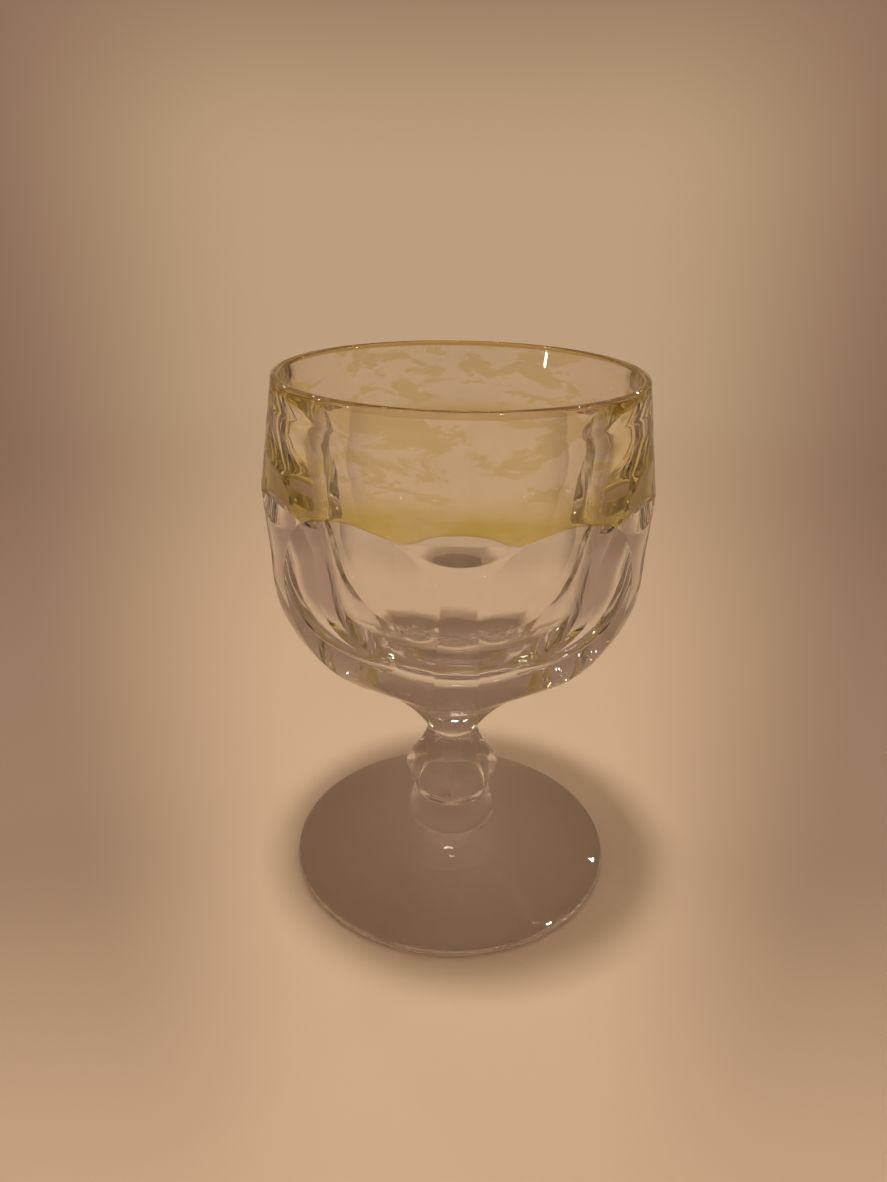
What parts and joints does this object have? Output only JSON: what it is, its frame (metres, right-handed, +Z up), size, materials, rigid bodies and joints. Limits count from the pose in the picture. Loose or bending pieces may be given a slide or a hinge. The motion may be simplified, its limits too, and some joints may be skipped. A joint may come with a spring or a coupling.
{
  "type": "cognac goblet",
  "caption": "Short-stemmed cognac goblet in thick clear glass: arched panel-cut bowl under an amber-stained band, faceted knop, round collar and wide conical foot.",
  "frame": {"origin": "centre of the foot, on the plane that the glass stands on", "axes": "+Z up along the axis of the glass towards the lip; -Y is the side of one lens cut, seen from the front"},
  "size_m": [0.0818, 0.0826, 0.12],
  "materials": {
    "clear_glass": "fire-polished clear glass",
    "amber_stain": "worn amber stain on clear glass"
  },
  "bodies": {
    "root": {"foot": "clear_glass", "collar": "clear_glass", "knop": "clear_glass", "bowl": "clear_glass", "amber_band": "amber_stain"}
  },
  "joints": []
}
